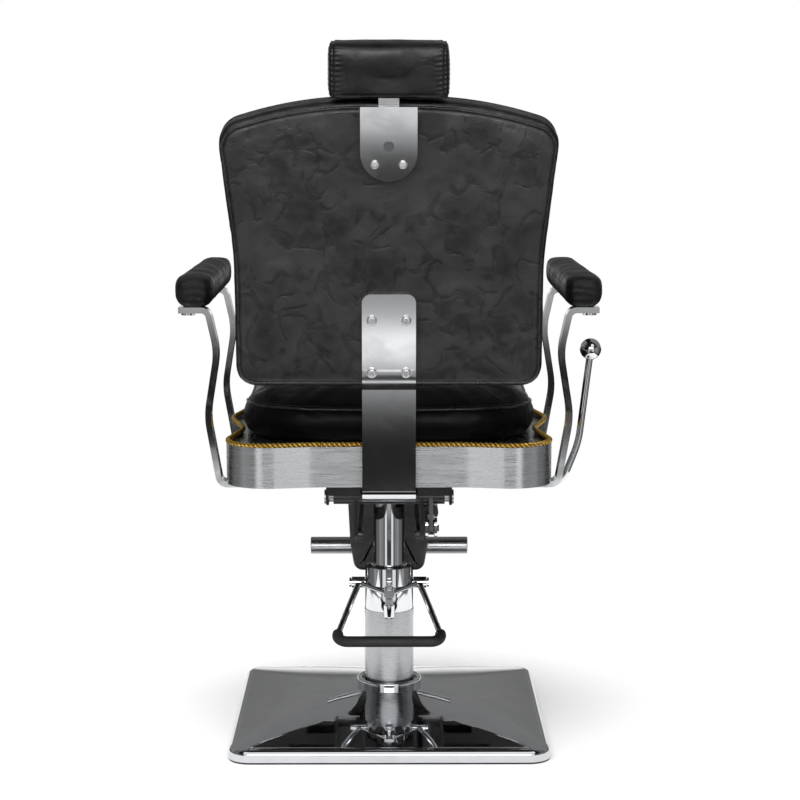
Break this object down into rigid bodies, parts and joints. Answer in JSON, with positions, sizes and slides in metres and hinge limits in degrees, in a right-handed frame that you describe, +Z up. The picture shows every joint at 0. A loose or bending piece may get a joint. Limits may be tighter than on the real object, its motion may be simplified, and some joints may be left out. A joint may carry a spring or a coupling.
{
  "type": "hydraulic barber chair",
  "caption": "Reclining barber chair on a foot-pumped column with a square chrome base, scalloped seat band, padded armrests, headrest and linked leg rest.",
  "frame": {"origin": "on the floor under the middle of the column", "axes": "+Z up, the sitter faces -Y, +X to the sitter's left"},
  "size_m": [0.6636, 0.639, 1.1005],
  "materials": {
    "black_rubber": "matt",
    "black_enamel": "satin",
    "chrome_plate": "mirror",
    "brushed_tube": "brushed",
    "band_steel": "satin polished",
    "plain_steel": "machined",
    "deck_sheet": "satin",
    "gold_rope": "twisted rope",
    "timber": "black stained",
    "plywood": "plain",
    "foam": "open cell",
    "black_leather": "semi gloss grain",
    "black_plastic": "moulded"
  },
  "bodies": {
    "pump_stand": {"floor_liner": "black_rubber", "base_plate": "black_enamel", "base_shell": "chrome_plate", "base_trim_ring": "chrome_plate", "outer_tube": "brushed_tube", "inner_cylinder": "plain_steel", "pump_head": "chrome_plate", "pump_cap": "black_enamel", "gland_nut": "chrome_plate", "plunger_guide": "chrome_plate", "pedal_pins": "chrome_plate"},
    "pedal": {"pedal_yoke": "chrome_plate", "pedal_grip": "black_rubber", "adjusting_screw": "plain_steel"},
    "pump_plunger": {"plunger": "plain_steel", "plunger_spring": "plain_steel"},
    "lift": {"piston": "plain_steel", "piston_seal": "black_rubber"},
    "seat": {"ram": "chrome_plate", "ram_socket": "black_enamel", "mount_bolts": "plain_steel", "mech_frame": "black_enamel", "hinge_pins": "plain_steel", "strut_cylinder": "black_enamel", "seat_band": "band_steel", "seat_timber": "timber", "seat_board": "timber", "seat_deck": "deck_sheet", "seat_trim": "gold_rope", "seat_foam": "foam", "seat_cover": "black_leather", "arm_legs_left": "chrome_plate", "arm_legs_right": "chrome_plate", "arm_pad_left": "black_leather", "arm_pad_right": "black_leather", "arm_boards": "plywood", "arm_screws": "chrome_plate"},
    "strut": {"strut_rod": "chrome_plate"},
    "lever": {"lever_rod": "chrome_plate", "lever_ball": "chrome_plate"},
    "back": {"back_strap": "chrome_plate", "back_crank": "black_enamel", "strap_bolts": "chrome_plate", "back_board": "plywood", "back_rear_cover": "black_leather", "back_foam": "foam", "back_cover": "black_leather", "headrest_guide": "black_plastic", "guide_plaque": "chrome_plate", "plaque_screws": "chrome_plate"},
    "button": {"release_button": "chrome_plate"},
    "stem": {"headrest_stem": "brushed_tube"},
    "headrest": {"headrest_foam": "foam", "headrest_cover": "black_leather", "headrest_pin": "plain_steel"},
    "leg_rest": {"leg_bracket": "black_enamel", "leg_board": "black_leather", "leg_pad": "black_leather", "footrest_bar": "brushed_tube"},
    "links": {"link_rods": "black_enamel"}
  },
  "joints": [
    {"name": "pedal_hinge", "type": "hinge", "parent": "pump_stand", "child": "pedal", "pos_m": [0, 0, 0.23], "axis": [-1, 0, 0], "range_deg": [0, 14], "stiffness_Nm_per_rad": 6, "springref_deg": -14.32},
    {"name": "plunger_slide", "type": "slide", "parent": "pump_stand", "child": "pump_plunger", "axis": [0, 0, -1], "range_m": [0, 0.0123], "deforming": ["plunger_spring"]},
    {"name": "seat_lift", "type": "slide", "parent": "pump_stand", "child": "lift", "axis": [0, 0, 1], "range_m": [-0.085, 0.065]},
    {"name": "seat_swivel", "type": "hinge", "parent": "lift", "child": "seat", "pos_m": [0, 0, 0.3], "axis": [0, 0, 1], "continuous": true},
    {"name": "back_recline", "type": "hinge", "parent": "seat", "child": "back", "pos_m": [0, 0.165, 0.403], "axis": [-1, 0, 0], "range_deg": [0, 45]},
    {"name": "strut_slide", "type": "slide", "parent": "seat", "child": "strut", "axis": [0, -1, 0], "range_m": [0, 0.0385]},
    {"name": "leg_rest_hinge", "type": "hinge", "parent": "seat", "child": "leg_rest", "pos_m": [0, -0.232, 0.403], "axis": [-1, 0, 0], "range_deg": [0, 45.1]},
    {"name": "link_hinge", "type": "hinge", "parent": "back", "child": "links", "pos_m": [0, 0.165, 0.343], "axis": [-1, 0, 0], "range_deg": [-45.1, 0]},
    {"name": "lever_hinge", "type": "hinge", "parent": "seat", "child": "lever", "pos_m": [-0.1, 0.05, 0.402], "axis": [-1, 0, 0], "range_deg": [0, 20], "stiffness_Nm_per_rad": 3, "springref_deg": -6.88},
    {"name": "button_press", "type": "slide", "parent": "back", "child": "button", "axis": [0, -0.9962, 0.0872], "range_m": [0, 0.0013], "stiffness_N_per_m": 500, "springref_m": -0.002},
    {"name": "headrest_slide", "type": "slide", "parent": "back", "child": "stem", "axis": [0, 0.0872, 0.9962], "range_m": [0, 0.06]},
    {"name": "headrest_tilt", "type": "hinge", "parent": "stem", "child": "headrest", "pos_m": [0, 0.30965, 1.02785], "axis": [-1, 0, 0], "range_deg": [0, 25]}
  ],
  "couplings": [
    {"joint": "plunger_slide", "follows": "pedal_hinge", "m_per_rad": 0.05},
    {"joint": "strut_slide", "follows": "back_recline", "m_per_rad": 0.04874},
    {"joint": "leg_rest_hinge", "follows": "back_recline", "ratio": 1},
    {"joint": "link_hinge", "follows": "back_recline", "ratio": -1}
  ]
}
